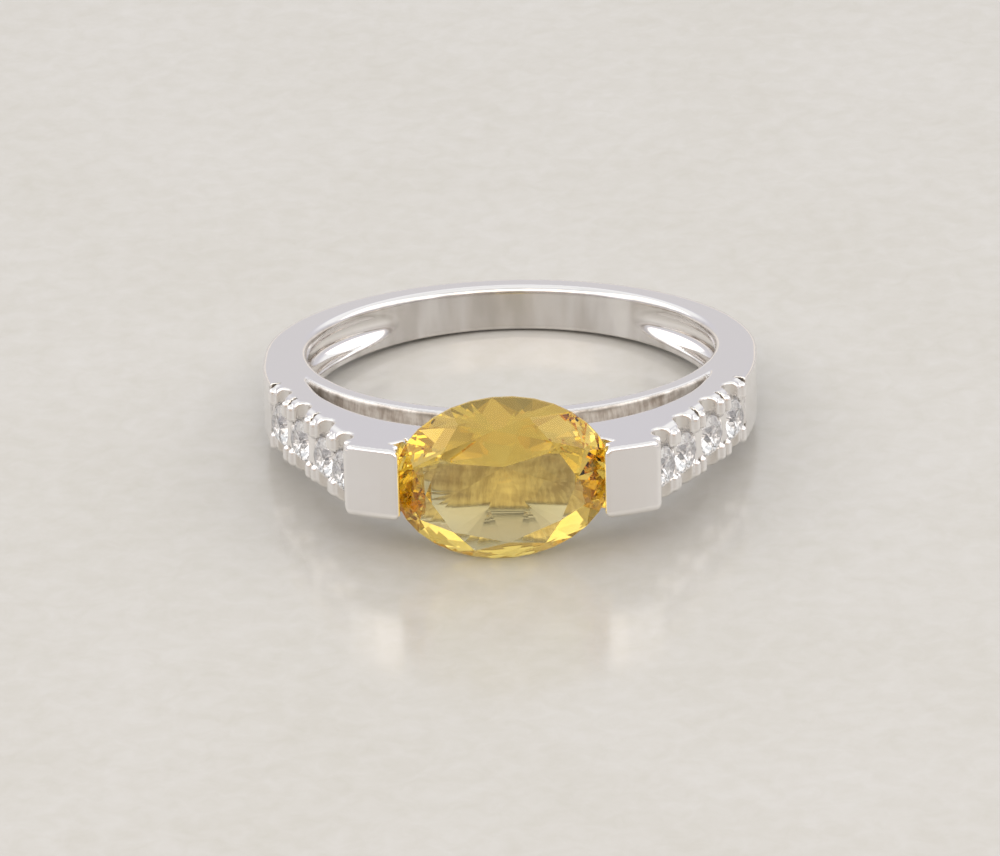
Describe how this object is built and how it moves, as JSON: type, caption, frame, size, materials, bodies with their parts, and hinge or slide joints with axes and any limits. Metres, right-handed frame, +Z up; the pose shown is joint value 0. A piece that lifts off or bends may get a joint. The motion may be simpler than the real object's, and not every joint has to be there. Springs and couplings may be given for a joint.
{
  "type": "gemstone ring",
  "caption": "Silver finger ring lying on its side, with an oval citrine gripped at its ends between bars and a row of small round clear stones on each raised shoulder",
  "frame": {"origin": "middle of the ring's box in plan, on the table under it", "axes": "+X to the right as seen by someone facing the citrine, -Y the way the citrine faces, +Z up from the table"},
  "size_m": [0.0208, 0.0242, 0.007],
  "materials": {
    "silver": "polished silver, cast in one piece",
    "citrine": "faceted golden yellow citrine",
    "clear_stone": "faceted colourless stone"
  },
  "bodies": {
    "root": {"band": "silver", "citrine": "citrine", "accent_left_1": "clear_stone", "accent_left_2": "clear_stone", "accent_left_3": "clear_stone", "accent_left_4": "clear_stone", "accent_right_1": "clear_stone", "accent_right_2": "clear_stone", "accent_right_3": "clear_stone", "accent_right_4": "clear_stone"}
  },
  "joints": []
}
